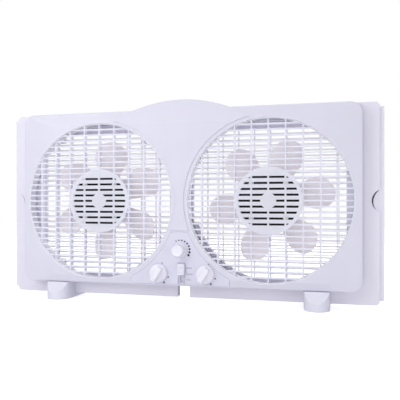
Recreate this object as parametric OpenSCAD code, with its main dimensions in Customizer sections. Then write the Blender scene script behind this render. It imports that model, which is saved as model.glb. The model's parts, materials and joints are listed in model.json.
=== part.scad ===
// Twin window fan: two paddle rotors side by side in a thin housing, with side
// extenders that slide out to fill the window, and a pair of feet for standing free.
// Frame: X to the right, Y to the back, Z up. The origin is on the floor, in the
// middle of the width and of the depth, and the controls face -Y.

/* [Housing] */
// Width of the housing without its extenders
body_w = 554; // [540:1:680]
// Height of the housing without its dome
body_h = 280; // [276:1:340]
// Distance from the middle plane to the front or rear face
face_y = 33; // [31:0.5:42]
// Half of the channel between the two shells in which the extenders run
channel_half = 9.5; // [9.2:0.1:11.4]
// Wall of the shells
wall = 2.5; // [2:0.1:3]
// Corner radius of the housing seen from the front
corner_r = 20; // [12:1:26]
// Radius of the edge between face and sides
edge_r = 3; // [2:0.5:4]
// How far the face falls back towards its border
border_drop = 4.5; // [2:0.5:5]
// Width of the falling border at the two sides
border_side = 58; // [40:1:70]
// Width of the falling border at the top
border_end = 24; // [16:1:28]
// Width of the falling border at the bottom
border_low = 12; // [8:1:16]
// How far the face falls back towards its bottom edge
border_low_drop = 2; // [1:0.5:3]
// Half of the dome's width where it leaves the top edge
dome_half = 78; // [60:1:90]
// Height of the dome above the top edge
dome_rise = 14.5; // [8:0.5:20]
// How far the middle pad stands out of the face
pad_rise = 1.2; // [0.6:0.1:2]

/* [Openings and grilles] */
// Radius of each round air opening
opening_r = 127; // [105:0.5:128]
// Housing between an opening and the housing's side
side_border = 11; // [9.5:0.5:16]
// Housing between an opening and the housing's bottom edge
low_border = 7.5; // [7:0.5:14]
// Distance between one grille bar and the next
bar_pitch = 9; // [8:0.5:11]
// Height of one grille bar seen from the front
bar_h = 2.4; // [2:0.1:4]
// Thickness of the grille's bars from front to back
bar_t = 2.5; // [2:0.1:3]
// Distance between the upright ribs
rib_pitch = 26; // [22:1:34]
// Thickness of an upright rib seen from the front
rib_t = 2; // [1.2:0.1:2.4]
// Depth of the upright ribs from front to back
rib_depth = 8; // [5:0.5:9]
// How far the grilles sit behind the face
grille_recess = 4; // [2:0.5:5]
// Width of the ring round a grille
ring_w = 1.5; // [1.5:0.5:5]
// Radius of the closed disc in the middle of a front grille
disc_r = 52; // [50:1:58]
// Radius that the cooling slots of the disc reach
slot_reach = 46.5; // [40:0.5:48]
// Height of one cooling slot
slot_h = 3.3; // [2:0.1:3.4]
// Radius of the plain middle of the disc
plain_r = 12; // [10:0.5:16]

/* [Motors and rotors] */
// Radius of the motor can
motor_r = 46; // [40:0.5:46.5]
// Depth of the motor can
motor_t = 24; // [20:0.5:25]
// Radius of the shaft
shaft_r = 4; // [3:0.5:5]
// Distance from a blade's tip to the wall of its opening
tip_inset = 27; // [22:0.5:40]
// Number of blades on one rotor
blade_count = 6; // [4:1:6]
// Radius of the round end of a blade
blade_end_r = 27; // [22:0.5:27]
// Thickness of a blade
blade_t = 1.8; // [1.4:0.1:2.4]
// Angle at which the blades are set
blade_pitch = 26; // [18:1:28]
// Radius of the rotor's hub
hub_r = 31; // [26:1:36]
// Turn of the left rotor's first blade from the right-hand horizontal
left_turn = 24; // [0:1:59]
// Turn of the right rotor's first blade from the right-hand horizontal
right_turn = 8; // [0:1:59]

/* [Extenders] */
// Depth of an extender from front to back
ext_t = 14; // [11.5:0.5:15]
// Height of an extender's arm
arm_h = 21; // [16:0.5:24]
// Wall of the arm's channel
arm_wall = 2; // [1.6:0.1:2.4]
// Gap between the ends of the two lower arms when closed
arm_gap = 20.4; // [12:0.2:40]
// How far the panel stands out of the housing's side when closed
panel_out = 24.4; // [18:0.2:34]
// Clearance between a blade's tip and the panel
panel_clear = 15; // [6:0.5:16]
// How far the tongue stands out of the panel
tongue_out = 6.6; // [4:0.2:9]
// Thickness of the tongue
tongue_t = 7; // [5:0.5:8]
// How much shorter the tongue is than the panel at each end
tongue_short = 6.5; // [4:0.5:12]
// Radius of the finger notch
notch_r = 18; // [14:0.5:22]
// Depth of the finger notch
notch_deep = 11.5; // [8:0.5:13]
// Number of ribs between the pockets in the back of the panel
panel_ribs = 5; // [3:1:8]

/* [Feet] */
// Width of a foot
foot_w = 38; // [30:1:44]
// Distance from the housing's side to the middle of a foot
foot_inset = 66; // [50:1:90]
// Reach of a foot to the front of the middle plane
foot_front = 47; // [40:0.5:58]
// Reach of a foot to the back of the middle plane
foot_back = 51; // [40:0.5:58]
// Thickness of a foot under the lower arm
foot_base = 6.7; // [5:0.1:9]
// Slope of the foot's nose, as a setback at its top
foot_slope = 14; // [8:0.5:18]
// Radius of the pegs that hold a foot
peg_r = 3; // [2.5:0.1:4]

/* [Controls] */
// Half of the distance between the fan knobs
knob_x = 38; // [33:0.5:40]
// How far the fan knobs and the slide button stand to the right of the middle
control_x = 4; // [0:0.5:5]
// How far the thermostat knob stands to the right of the middle
stat_x = 1.5; // [0:0.5:3]
// Height of the fan knobs above the housing's bottom edge
knob_up = 20; // [18:0.5:24]
// Radius of a fan knob
knob_r = 14.5; // [11:0.5:15]
// Height of the thermostat knob above the housing's bottom edge
stat_up = 57; // [54:0.5:62]
// Radius of the thermostat knob
stat_r = 11.5; // [9.5:0.5:14]
// How far the knobs stand out of the control panel
knob_reach = 18; // [14:0.5:20]
// Height of the slide button's highest place above the housing's bottom edge
slider_up = 27.5; // [26:0.5:29]
// Distance between two places of the slide button
slider_step = 8.8; // [6:0.1:9]
// Width of the slide button
slider_w = 11; // [8:0.5:13]
// Height of the slide button
slider_h = 18; // [12:0.5:18]
// How far the slide button stands out of the control panel
slider_reach = 9; // [6:0.5:12]
// Depth of the track that the slide button runs in
track_deep = 1.2; // [0.6:0.1:1.4]
// Turn of the fan knobs' bars from upright to their first place
knob_turn = 31; // [0:1:60]
// Height of the control panel's arched top above the housing's bottom edge
panel_up = 86; // [80:1:96]
// Half of the control panel's widest width
panel_half = 80; // [72:1:84]

/* [Hidden] */

fit = 0.3;
running_fit = 0.05;
over = 1;
arc_steps = 5;
plastic = [0.87, 0.86, 0.93];
panel_plastic = [0.84, 0.83, 0.91];
knob_plastic = [0.94, 0.93, 0.99];
blade_plastic = [0.84, 0.83, 0.85];
black_metal = [0.07, 0.07, 0.08];
steel = [0.62, 0.62, 0.64];
bronze = [0.66, 0.49, 0.28];
dark_plastic = [0.16, 0.16, 0.17];

// Heights of what stacks up from the floor.
arm_low = foot_base + fit;
body_low = arm_low + arm_h;
body_top = body_low + body_h;
arm_top = body_top + over;
fan_z = body_low + low_border + opening_r;
half_w = body_w / 2;
fan_x = half_w - side_border - opening_r;

// The dome is a round disc whose middle lies on the housing's upright centre line.
dome_r = (dome_half * dome_half + dome_rise * dome_rise) / (2 * dome_rise);
dome_z = body_top + dome_rise - dome_r;

// Planes from front to back.
grille_y = face_y - grille_recess;
bar_back = grille_y - bar_t;
rib_back = grille_y - rib_depth;
motor_front = bar_back - 1;
motor_back = motor_front - motor_t;
rotor_back = bar_back - 7;
rotor_front = 1 - motor_back;
blade_y = 5;
blade_r = opening_r - tip_inset;

// Extender: its arms run on keels that stand on the housing.
keel_inset = 15;
keel_back = 4;
plate_inset = 24;
notch_up = 4;
keel_half = ext_t / 2 - arm_wall - fit;
keel_end = half_w - keel_inset;
keel_start = arm_gap / 2 + keel_back;
shelf_z = arm_top - arm_h - fit - wall;
panel_in = fan_x + blade_r + panel_clear;
panel_edge = half_w + panel_out;
mid_z = (arm_low + arm_top) / 2;
foot_x = half_w - foot_inset;
foot_top = body_low - fit;
peg_y = (channel_half + face_y) / 2;
peg_len = 9;

// Screw posts stand in the corners between the openings and in the middle.
post_r = 5;
post_ring = opening_r + 20.5;
post_turn = 48.6;
pad_post_drop = 44;
pad_post_up = 16;
low_post_x = 70;
low_post_up = 11;
low_post_places = [for (sx = [-1, 1]) [sx * low_post_x, body_low + low_post_up]];
post_places = concat(
    [for (sx = [-1, 1], sz = [-1, 1])
        [sx * (fan_x + post_ring * cos(post_turn)), fan_z + sz * post_ring * sin(post_turn)]],
    [[0, body_top - pad_post_drop], [0, body_low + panel_up + pad_post_up]],
    low_post_places
);
post_end = face_y - wall;
pad_post_end = face_y + pad_rise - wall + 0.5;
counterbore = 14;
screw_r = 1.5;
head_r = 3.4;
head_t = 2.4;

// A motor's lead runs behind a bar, then along the collar, and through it below.
lead_r = 1.5;
lead_bead_r = lead_r + 0.2;
lead_drop = 3 * bar_pitch;
lead_y = rib_back - lead_r - 0.5;
lead_ring = opening_r - lead_bead_r - 0.2;
lead_out = 6;
lead_hole_turn = 241;
lead_start = fan_x - sqrt(pow(motor_r, 2) - pow(lead_drop - lead_r, 2)) - fit;

// Controls.
knob_z = body_low + knob_up;
stat_z = body_low + stat_up;
slider_z = body_low + slider_up;
slider_drop = 2 * slider_step;
spindle_r = 3;
panel_gap = 0.2;
panel_low = 3.2;
arch_r = 60;
panel_t = 2.5;
panel_back = face_y - panel_t;
ledge_t = 2.5;
ledge_w = 2;
tab_r = 5.5;
boss_r = 3;
switch_w = 20;
switch_t = 12;
switch_wall = 2;
lug = [3, 7, 0.8];
stat_w = 28;
stat_low = 11;
stat_high = 13;
stem_w = 5;
stem_h = 7;
slot_w = stem_w;
slot_end = 4;
panel_proud = 0.2;
panel_face = face_y + panel_proud;
track_y = panel_face - track_deep;
seat_h = 1;
fan_knob_places = [for (sx = [-1, 1]) control_x + sx * knob_x];
switch_back = panel_back - switch_t;
knob_seat = face_y + seat_h + fit;
knob_tip = face_y + knob_reach;
socket_deep = 5;
spindle_tip = knob_tip - socket_deep - fit;
ring_clear = 7;
bezel_w = 0.8;
cup_t = 2.5;

// ---------------------------------------------------------------- shared forms

// A slab drawn in the X-Z plane, from y0 (front) to y1 (back).
module slab(y0, y1) {
    translate([0, y1, 0])
        rotate([90, 0, 0])
            linear_extrude(y1 - y0)
                children();
}

// A round bar along Y at [x, z], from y0 to y1.
module rod(x, z, r, y0, y1) {
    translate([x, y1, z])
        rotate([90, 0, 0])
            cylinder(h = y1 - y0, r = r, $fn = 64);
}

// A cone along Y whose radius goes from r0 at y0 to r1 at y1.
module taper(x, z, r0, r1, y0, y1) {
    translate([x, y1, z])
        rotate([90, 0, 0])
            cylinder(h = y1 - y0, r1 = r1, r2 = r0, $fn = 64);
}

module rounded_rect(x0, x1, z0, z1, r) {
    translate([x0 + r, z0]) square([x1 - x0 - 2 * r, z1 - z0]);
    translate([x0, z0 + r]) square([x1 - x0, z1 - z0 - 2 * r]);
    for (x = [x0 + r, x1 - r], z = [z0 + r, z1 - r])
        translate([x, z]) circle(r = r, $fn = 48);
}

// Points of a quarter-like arc about [cx, cy] from angle a0 to a1.
function arc(cx, cy, r, a0, a1) =
    [for (i = [0 : arc_steps]) let (a = a0 + (a1 - a0) * i / arc_steps) [cx + r * cos(a), cy + r * sin(a)]];

// A shell's section across one span. At each end the face falls back over a border and
// turns round an edge into the side. "inset" draws the same section inside the wall.
function section(lo, hi, border, drop, inset, face, back) =
    let (r = max(edge_r - inset, 0.4), y = face - inset)
    concat(
        [[lo + inset, back]],
        arc(lo + inset + r, y - drop[0] - r, r, 180, 90),
        [[lo + border[0], y], [hi - border[1], y]],
        arc(hi - inset - r, y - drop[1] - r, r, 90, 0),
        [[hi - inset, back]]
    );

// The outline of the housing seen from the front.
module outline(inset) {
    rounded_rect(-half_w + inset, half_w - inset, body_low + inset, body_top - inset, corner_r - inset);
}

// The middle pad: a disc that rises above the top edge as the dome and ends between the openings.
module pad_outline(inset) {
    difference() {
        intersection() {
            translate([0, dome_z]) circle(r = dome_r - inset, $fn = 180);
            translate([-dome_half * 1.5, body_low + panel_up + 2 + inset])
                square([dome_half * 3, body_h + dome_rise]);
        }
        for (sx = [-1, 1])
            translate([sx * fan_x, fan_z]) circle(r = opening_r + ring_clear - 2, $fn = 120);
    }
}

// One half of the housing as a closed form on the +Y side, from y = back to the face.
module half_form(inset, back) {
    intersection() {
        slab(back, face_y) outline(inset);
        translate([0, 0, body_low - over])
            linear_extrude(body_h + 2 * over)
                polygon(section(-half_w, half_w, [border_side, border_side],
                    [border_drop, border_drop], inset, face_y, back - over));
        translate([-half_w, 0, 0])
            rotate([90, 0, 90])
                linear_extrude(body_w)
                    polygon([for (p = section(body_low, body_top, [border_low, border_end],
                        [border_low_drop, border_drop], inset, face_y, back - over)) [p[1], p[0]]]);
    }
}

// The dome with its pad, whose face leans back above the border line.
module dome_form(inset, back) {
    lean = border_drop / border_end;
    y = face_y + pad_rise - inset;
    crest = body_top + dome_rise;
    intersection() {
        slab(back, y) pad_outline(inset);
        translate([-dome_half * 1.5, 0, 0])
            rotate([90, 0, 90])
                linear_extrude(dome_half * 3)
                    polygon([
                        [back - over, body_low],
                        [y, body_low],
                        [y, body_top - border_end],
                        [y - lean * (border_end + dome_rise), crest],
                        [back - over, crest]
                    ]);
    }
}

module shell_form(inset, back) {
    half_form(inset, back);
    dome_form(inset, back);
}

module both_sides(x, z, r, y0, y1) {
    for (sx = [-1, 1])
        rod(sx * x, z, r, y0, y1);
}

// ---------------------------------------------------------------- housing

// The control panel's outline: an arched top, sides that follow the openings, and a flat foot.
module panel_outline(gap) {
    low = body_low + panel_low + gap;
    difference() {
        union() {
            translate([0, body_low + panel_up - arch_r]) circle(r = arch_r - gap, $fn = 96);
            translate([-panel_half + gap, low]) square([2 * (panel_half - gap), arch_r - 2 * gap]);
        }
        for (sx = [-1, 1])
            translate([sx * fan_x, fan_z]) circle(r = opening_r + ring_clear + gap, $fn = 120);
        translate([-panel_half, low - panel_up]) square([2 * panel_half, panel_up]);
    }
}

// The front shell is drawn on the +Y side and turned to the front as it is placed.
module front_shell() {
    color(plastic)
        mirror([0, 1, 0])
            difference() {
                union() {
                    difference() {
                        shell_form(0, channel_half);
                        shell_form(wall, channel_half - over);
                    }
                    // Collars round the openings.
                    intersection() {
                        shell_form(0, channel_half);
                        both_sides(fan_x, fan_z, opening_r + wall, channel_half, face_y + pad_rise);
                    }
                    channel_wall();
                    // Ledge that the control panel rests on.
                    slab(panel_back - ledge_t, panel_back) panel_outline(-ledge_w - over);
                    // Screw posts and the sockets for the feet.
                    posts(fit);
                    foot_sockets();
                }
                both_sides(fan_x, fan_z, opening_r, -over, face_y + 2 * pad_rise);
                // Holes in the collars for the motors' leads.
                for (sx = [-1, 1])
                    mirror([sx < 0 ? 1 : 0, 0, 0])
                        translate([fan_x, lead_y, fan_z])
                            rotate([0, 90 - lead_hole_turn, 0])
                                translate([0, 0, opening_r - over])
                                    cylinder(h = wall + 2 * over, r = lead_bead_r + 0.1, $fn = 32);
                slab(panel_back, face_y + 2 * pad_rise) panel_outline(0);
                // The ledge is left standing round the edge and at the panel's screws.
                slab(panel_back - ledge_t - over, panel_back + over)
                    difference() {
                        panel_outline(ledge_w);
                        for (p = concat(control_screw_places, low_post_places))
                            translate(p) circle(r = tab_r, $fn = 48);
                    }
                translate([control_x - switch_wall - slot_w, panel_back - ledge_t - over, body_low + 4])
                    cube([2 * (slot_w + switch_wall), ledge_t + 2 * over, slider_up - 4]);
                for (p = control_screw_places)
                    rod(p[0], p[1], boss_r + fit, panel_back - ledge_t - over, face_y);
                for (p = post_places)
                    rod(p[0], p[1], screw_r + running_fit, -over, face_y - wall - 3);
                foot_bores();
            }
}

// Wall of the channel that the upper arms run in.
module channel_wall() {
    slab(channel_half, channel_half + wall)
        translate([-half_w + wall, shelf_z])
            square([body_w - 2 * wall, body_top - wall - shelf_z]);
}

module posts(start) {
    for (p = post_places)
        rod(p[0], p[1], post_r, start, p[0] == 0 ? pad_post_end : post_end);
}

module foot_sockets() {
    for (sx = [-1, 1])
        translate([sx * foot_x, peg_y, body_low])
            cylinder(h = peg_len + 1, r = peg_r + wall, $fn = 48);
}

module foot_bores() {
    for (sx = [-1, 1])
        translate([sx * foot_x, peg_y, body_low - over])
            cylinder(h = peg_len + over + fit, r = peg_r + 0.1, $fn = 48);
}

// Outline of one window in the rear shell: from the middle post to the side, and clear of the controls.
module rear_window(sx, gap) {
    mirror([sx < 0 ? 1 : 0, 0])
        difference() {
            rounded_rect(post_r + 1.5 + gap, half_w - side_border - gap, body_low + low_border + gap,
                shelf_z - 4 - gap, 26);
            // The outer corners are left closed round their screw posts.
            for (p = post_places)
                if (p[0] > low_post_x) {
                    reach = post_r + 1.5 + gap;
                    up = p[1] > fan_z;
                    translate([p[0] - reach, up ? p[1] - reach : body_low - over])
                        square([half_w, up ? body_h : p[1] + reach - body_low + over]);
                }
            // The wall of the control box follows the opening on its inner side.
            difference() {
                translate([-over, body_low - over])
                    square([fan_x + over, panel_up + 8 + over + gap]);
                translate([fan_x, fan_z]) circle(r = opening_r + 3 - gap, $fn = 120);
            }
        }
}

module rear_shell() {
    color(plastic)
        difference() {
            union() {
                difference() {
                    shell_form(0, channel_half);
                    shell_form(wall, channel_half - over);
                }
                // Rims round the two windows, as deep as the rear grilles need.
                intersection() {
                    shell_form(0, channel_half);
                    slab(rib_back, face_y)
                        for (sx = [-1, 1])
                            rear_window(sx, -wall);
                }
                channel_wall();
                // Floor and shelf close the housing towards the arms, and carry their keels.
                middle_plate(body_low, body_low + wall);
                middle_plate(shelf_z, shelf_z + wall);
                keels();
                dome_roof();
                posts(0);
                foot_sockets();
            }
            slab(-over, face_y + 2 * pad_rise)
                for (sx = [-1, 1])
                    rear_window(sx, 0);
            for (p = post_places) {
                rod(p[0], p[1], screw_r + 0.2, -over, face_y + 2 * pad_rise);
                rod(p[0], p[1], head_r + 0.4, face_y - counterbore, face_y + 2 * pad_rise);
            }
            foot_bores();
            translate([grommet_x, face_y + over, grommet_z])
                rotate([90, 0, 0])
                    cylinder(h = wall + 3 + over, r = grommet_r, $fn = 48);
        }
}

module middle_plate(z0, z1) {
    x = half_w - plate_inset;
    translate([-x, -channel_half + fit, z0])
        cube([2 * x, 2 * channel_half + wall, z1 - z0]);
}

// Two keels under the floor and two on the shelf: the arms' channels ride on them.
module keels() {
    for (sx = [-1, 1])
        translate([sx > 0 ? keel_start : -keel_end, -keel_half, 0]) {
            translate([0, 0, arm_low + arm_wall + fit])
                cube([keel_end - keel_start, 2 * keel_half, body_low - arm_low - arm_wall]);
            translate([0, 0, shelf_z + wall - over])
                cube([keel_end - keel_start, 2 * keel_half, arm_h - arm_wall + over]);
        }
}

// The dome's roof bridges the channel above the arms.
module dome_roof() {
    reach = dome_half - 16;
    slab(-channel_half + fit, channel_half + over)
        intersection() {
            difference() {
                translate([0, dome_z]) circle(r = dome_r, $fn = 180);
                translate([0, dome_z]) circle(r = dome_r - wall, $fn = 180);
            }
            translate([-reach, body_top]) square([2 * reach, dome_rise + over]);
        }
}

// ---------------------------------------------------------------- grilles

// Windows of one size, each with its lower left corner at one of the given places.
module windows(corners, w, h) {
    polygon(
        [for (c = corners, k = [0 : 3]) [c[0] + (k == 1 || k == 2 ? w : 0), c[1] + (k > 1 ? h : 0)]],
        [for (i = [0 : len(corners) - 1]) [for (k = [0 : 3]) 4 * i + k]]
    );
}

// The long gaps between the bars of one grille, in rows about its middle.
module bar_gaps(rows, half) {
    gap = bar_pitch - bar_h;
    windows([for (row = [-rows : rows - 1]) [-half, (row + 0.5) * bar_pitch - gap / 2]], 2 * half, gap);
}

// Upright ribs in columns about the middle.
module ribs(columns, half) {
    for (i = [-columns + 1 : columns - 1])
        translate([i * rib_pitch - rib_t / 2, -half])
            square([rib_t, 2 * half]);
}

// Cooling slots in the disc: rows in line with the bars, cut where the ribs pass behind.
module disc_slots() {
    rows = floor((slot_reach - slot_h) / bar_pitch);
    columns = ceil(slot_reach / rib_pitch);
    bridge = rib_t + 0.8;
    difference() {
        intersection() {
            circle(r = slot_reach, $fn = 96);
            windows(
                [for (row = [-rows : rows], column = [-columns : columns - 1])
                    [column * rib_pitch + bridge / 2, row * bar_pitch - slot_h / 2]],
                rib_pitch - bridge, slot_h
            );
        }
        circle(r = plain_r, $fn = 64);
    }
}

// A front grille about its own middle, drawn on the -Y side at its place in depth.
module front_grille(side) {
    rows = ceil(opening_r / bar_pitch);
    columns = ceil(opening_r / rib_pitch);
    outer = opening_r - 0.1;
    inner = outer - ring_w;
    color(plastic)
        translate([side * fan_x, 0, fan_z])
            difference() {
                union() {
                    slab(-grille_y, -bar_back)
                        difference() {
                            circle(r = outer, $fn = 180);
                            difference() {
                                intersection() {
                                    circle(r = inner, $fn = 180);
                                    bar_gaps(rows, opening_r);
                                }
                                circle(r = disc_r, $fn = 120);
                            }
                            disc_slots();
                        }
                    // Upright ribs, flush with the bars in front and deeper than them.
                    slab(-grille_y, -rib_back)
                        difference() {
                            intersection() {
                                circle(r = inner + 1, $fn = 180);
                                ribs(columns, outer);
                            }
                            circle(r = disc_r - 1, $fn = 120);
                        }
                    // The rim and the motor's cup stand behind the bars.
                    slab(-bar_back, -rib_back)
                        difference() {
                            union() {
                                difference() {
                                    circle(r = outer, $fn = 180);
                                    circle(r = inner, $fn = 180);
                                }
                                circle(r = disc_r, $fn = 120);
                            }
                            circle(r = disc_r - cup_t, $fn = 120);
                        }
                    // Bosses that the motor is screwed to.
                    motor_screw_rods(4, -bar_back, -motor_front);
                }
                motor_screw_rods(screw_r + running_fit, -bar_back - 1.5, -motor_front + over);
            }
}

// A rear grille fills its window and is drawn at its place on the +Y side.
module rear_grille(side) {
    half = (half_w - side_border - post_r - 1.5) / 2;
    middle = post_r + 1.5 + half;
    rows = ceil(body_h / 2 / bar_pitch);
    columns = ceil(half / rib_pitch);
    color(plastic)
        union() {
            slab(bar_back, grille_y)
                difference() {
                    rear_window(side, 0.2);
                    intersection() {
                        rear_window(side, 0.2 + ring_w);
                        translate([side * middle, fan_z]) bar_gaps(rows, half);
                    }
                }
            slab(rib_back + 3, bar_back)
                union() {
                    difference() {
                        rear_window(side, 0.2);
                        rear_window(side, 0.2 + ring_w);
                    }
                    intersection() {
                        rear_window(side, 0.2 + ring_w / 2);
                        translate([side * middle, fan_z]) ribs(columns, body_h);
                    }
                }
        }
}

// ---------------------------------------------------------------- motors and rotors

motor_screw_ring = motor_r - 9;
motor_screw_turns = [45, 135, 225, 315];
motor_screw_deep = 7.8;

// Round bars along Y at the places of the motor's screws.
module motor_screw_rods(r, y0, y1) {
    for (a = motor_screw_turns)
        rod(motor_screw_ring * cos(a), motor_screw_ring * sin(a), r, y0, y1);
}

// A flat motor: a ribbed can with a stepped back that holds the shaft's bushing.
module motor(side) {
    vents = 16;
    color(black_metal)
        translate([side * fan_x, 0, fan_z])
            difference() {
                union() {
                    rod(0, 0, motor_r, -motor_front, -motor_back - 4);
                    taper(0, 0, motor_r, motor_r - 6, -motor_back - 4, -motor_back);
                }
                // The bushing's bore runs right through.
                rod(0, 0, bushing_r, -motor_front - over, -motor_back + over);
                // A ring of vents through the sloping back.
                for (i = [0 : vents - 1])
                    rotate([0, i * 360 / vents, 0])
                        translate([motor_r - 14, -motor_back - 5, -1.5])
                            cube([8, 6, 3]);
                motor_screw_rods(screw_r + 0.2, -motor_front - over, -motor_front + motor_screw_deep + 0.2);
            }
}

bushing_r = 7;
bushing_len = 7;

// Two sleeves of sintered bronze, one at each end of the motor.
module motor_bushings(side) {
    color(bronze)
        translate([side * fan_x, 0, fan_z])
            for (y = [-motor_front + 1, -motor_back - bushing_len])
                difference() {
                    rod(0, 0, bushing_r - running_fit, y, y + bushing_len);
                    rod(0, 0, shaft_r + running_fit, y - over, y + bushing_len + over);
                }
}

module shaft(side) {
    color(steel)
        translate([side * fan_x, 0, fan_z]) {
            rod(0, 0, shaft_r, -motor_front + 2, rotor_back - 1);
            taper(0, 0, shaft_r, shaft_r - 1, rotor_back - 1, rotor_back);
        }
}

// One paddle: a leaf outline cut from a bent sheet, set at the blades' angle.
module paddle() {
    bend_r = 80;
    root_half = 12;
    end_x = blade_r - blade_end_r;
    rotate([blade_pitch, 0, 0])
        intersection() {
            translate([0, bend_r + blade_t, 0])
                difference() {
                    translate([hub_r - 6, 0, 0])
                        rotate([0, 90, 0])
                            cylinder(h = blade_r, r = bend_r + blade_t, $fn = 120);
                    translate([hub_r - 6 - over, 0, 0])
                        rotate([0, 90, 0])
                            cylinder(h = blade_r + 2 * over, r = bend_r, $fn = 120);
                }
            slab(-4, 20) {
                translate([end_x, 0]) circle(r = blade_end_r, $fn = 72);
                polygon([
                    [hub_r - 3, -root_half],
                    [end_x - blade_end_r * 0.42, -blade_end_r * 0.9],
                    [end_x, -blade_end_r],
                    [end_x, blade_end_r],
                    [end_x - blade_end_r * 0.42, blade_end_r * 0.9],
                    [hub_r - 3, root_half]
                ]);
            }
        }
}

module blade(side) {
    turn = side < 0 ? left_turn : right_turn;
    floor_t = 2.5;
    color(blade_plastic)
        translate([side * fan_x, 0, fan_z])
            difference() {
                union() {
                    difference() {
                        rod(0, 0, hub_r, rotor_front, rotor_back - 6);
                        rod(0, 0, hub_r - 2.5, rotor_front - over, rotor_back - 6 - floor_t);
                    }
                    rod(0, 0, shaft_r + 4, rotor_front, rotor_back - 5);
                    for (i = [0 : blade_count - 1])
                        rotate([0, -turn - i * 360 / blade_count, 0])
                            difference() {
                                translate([0, blade_y, 0]) paddle();
                                rod(0, 0, hub_r - 1, -face_y, face_y);
                            }
                    // Webs between the hub's wall and the shaft's boss.
                    for (i = [0 : 2])
                        rotate([0, i * 60, 0])
                            translate([-hub_r + 1, rotor_front + 2, -0.8])
                                cube([2 * hub_r - 2, rotor_back - 7 - rotor_front - 2, 1.6]);
                }
                rod(0, 0, shaft_r + running_fit, rotor_front - over, rotor_back);
            }
}

// The nut that holds the blade on its shaft, with wings for the fingers.
module blade_nut(side) {
    color(blade_plastic)
        translate([side * fan_x, 0, fan_z])
            difference() {
                union() {
                    taper(0, 0, 9, 7.5, rotor_back - 5 + 0.05, rotor_back + 1.5);
                    for (a = [0, 90])
                        rotate([0, a, 0])
                            translate([-10.5, rotor_back - 4, -1])
                                cube([21, 4, 2]);
                }
                rod(0, 0, shaft_r + running_fit, rotor_back - 6, rotor_back + 0.1);
            }
}

// ---------------------------------------------------------------- extenders and feet

// One C-shaped extender: a ribbed panel with a tongue, and two channels as arms.
module extender(side) {
    start = arm_gap / 2;
    color(panel_plastic)
        mirror([side < 0 ? 1 : 0, 0, 0])
            difference() {
                union() {
                    extender_panel();
                    for (z = [[arm_low, arm_h - fit], [arm_top - arm_h, arm_h]])
                        translate([start, -ext_t / 2, z[0]])
                            cube([panel_in - start + over, ext_t, z[1]]);
                }
                // The lower channel is open at its top and the upper one at its bottom.
                for (z = [arm_low + arm_wall, arm_top - arm_h - 2 * over])
                    translate([start - over, -ext_t / 2 + arm_wall, z])
                        cube([keel_end - start + 2, ext_t - 2 * arm_wall, arm_h - arm_wall + 2 * over]);
                // Finger notch in the front and rear skins, down to the tongue.
                for (y = [-ext_t / 2 - over, tongue_t / 2])
                    translate([panel_edge + notch_r - notch_deep, y, mid_z + notch_up])
                        rotate([-90, 0, 0])
                            cylinder(h = ext_t / 2 - tongue_t / 2 + over, r = notch_r, $fn = 96);
            }
}

module extender_panel() {
    skin = ext_t / 2 - tongue_t / 2;
    chamfer = 4;
    pocket_x0 = panel_in + 4;
    pocket_x1 = panel_edge - notch_deep - 3;
    pitch = (arm_top - arm_low - 2 * arm_h) / (panel_ribs + 1);
    difference() {
        union() {
            slab(-ext_t / 2, ext_t / 2)
                polygon([
                    [panel_in, arm_low],
                    [panel_edge - chamfer, arm_low],
                    [panel_edge, arm_low + chamfer],
                    [panel_edge, arm_top - chamfer],
                    [panel_edge - chamfer, arm_top],
                    [panel_in, arm_top]
                ]);
            slab(-tongue_t / 2, tongue_t / 2)
                translate([panel_edge - over, arm_low + tongue_short])
                    square([tongue_out + over, arm_top - arm_low - 2 * tongue_short]);
        }
        // Pockets in the back, with a rib between one and the next.
        for (i = [0 : panel_ribs])
            translate([pocket_x0, -ext_t / 2 + skin, arm_low + arm_h + i * pitch + arm_wall / 2])
                cube([pocket_x1 - pocket_x0, ext_t, pitch - arm_wall]);
    }
}

// A foot: a bar with a round nose at each end, notched for the lower arm, with a peg for each shell.
module foot(side) {
    nose = foot_w / 2;
    notch_half = ext_t / 2 + fit;
    skin = 2.5;
    color(plastic)
        translate([side * foot_x, 0, 0])
            difference() {
                union() {
                    intersection() {
                        foot_plan(nose, 0);
                        foot_side(0);
                    }
                    for (sy = [-1, 1])
                        translate([0, sy * peg_y, foot_top - over])
                            cylinder(h = peg_len + over, r = peg_r, $fn = 48);
                }
                // Notch for the lower arm.
                translate([-nose - over, -notch_half, foot_base])
                    cube([foot_w + 2 * over, 2 * notch_half, body_low]);
                // Hollows under the two halves.
                difference() {
                    intersection() {
                        foot_plan(nose - skin, skin);
                        foot_side(skin);
                    }
                    translate([-nose, -notch_half - skin, -over])
                        cube([foot_w, 2 * (notch_half + skin), body_low]);
                }
            }
}

module foot_plan(nose, inset) {
    front = foot_front - inset;
    back = foot_back - inset;
    translate([0, 0, inset > 0 ? -over : 0])
        linear_extrude(foot_top - inset + (inset > 0 ? over : 0)) {
            translate([-nose, -front + nose]) square([2 * nose, front + back - 2 * nose]);
            translate([0, -front + nose]) circle(r = nose, $fn = 64);
            translate([0, back - nose]) circle(r = nose, $fn = 64);
        }
}

module foot_side(inset) {
    low = foot_top * 0.42;
    translate([-foot_w, 0, 0])
        rotate([90, 0, 90])
            linear_extrude(2 * foot_w)
                polygon([
                    [-foot_front + inset, -over],
                    [-foot_front + inset, low],
                    [-foot_front + foot_slope + inset, foot_top - inset],
                    [foot_back - foot_slope - inset, foot_top - inset],
                    [foot_back - inset, low],
                    [foot_back - inset, -over]
                ]);
}

// ---------------------------------------------------------------- controls

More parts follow.
